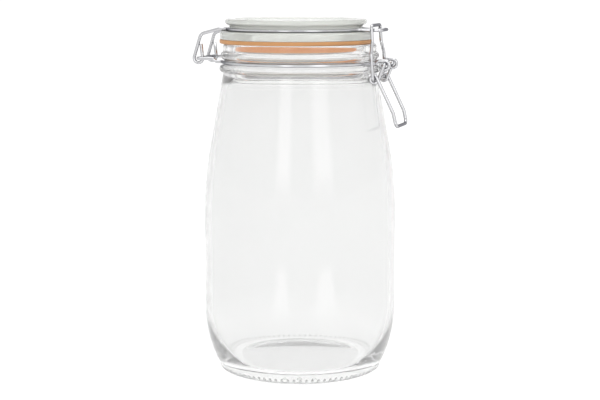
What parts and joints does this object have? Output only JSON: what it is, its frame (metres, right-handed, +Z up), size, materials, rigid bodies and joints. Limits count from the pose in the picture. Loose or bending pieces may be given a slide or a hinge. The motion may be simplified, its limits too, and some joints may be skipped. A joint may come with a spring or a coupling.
{
  "type": "clip top jar",
  "caption": "Tall round glass canister with a hinged glass lid on a rubber seal, held shut by a wire clip and an over-centre lever.",
  "frame": {"origin": "centre of the base, on the surface that the jar stands on", "axes": "+Z up along the jar's axis, -X towards the hinge, +X towards the latch"},
  "size_m": [0.1325, 0.1198, 0.2206],
  "materials": {
    "jar_glass": "clear, smooth, fire-polished",
    "lid_glass": "clear, pressed",
    "seal": "satin natural rubber",
    "wire": "bright drawn steel wire"
  },
  "bodies": {
    "jar": {"glass_jar": "jar_glass", "neck_wire": "wire"},
    "lid": {"glass_lid": "lid_glass", "rubber_seal": "seal", "lid_wire": "wire"},
    "lever": {"lever": "wire"},
    "bail": {"bail": "wire"}
  },
  "joints": [
    {"name": "lid_hinge", "type": "hinge", "parent": "jar", "child": "lid", "pos_m": [-0.0623, 0, 0.1958], "axis": [0, -1, 0], "range_deg": [0, 200]},
    {"name": "lever_hinge", "type": "hinge", "parent": "jar", "child": "lever", "pos_m": [0.0568, 0, 0.1937], "axis": [0, -1, 0], "range_deg": [0, 75]},
    {"name": "bail_hinge", "type": "hinge", "parent": "lever", "child": "bail", "pos_m": [0.0508, 0, 0.1846], "axis": [0, -1, 0], "range_deg": [-138.75, 0]}
  ],
  "couplings": [
    {"joint": "bail_hinge", "follows": "lever_hinge", "ratio": -1.85}
  ]
}
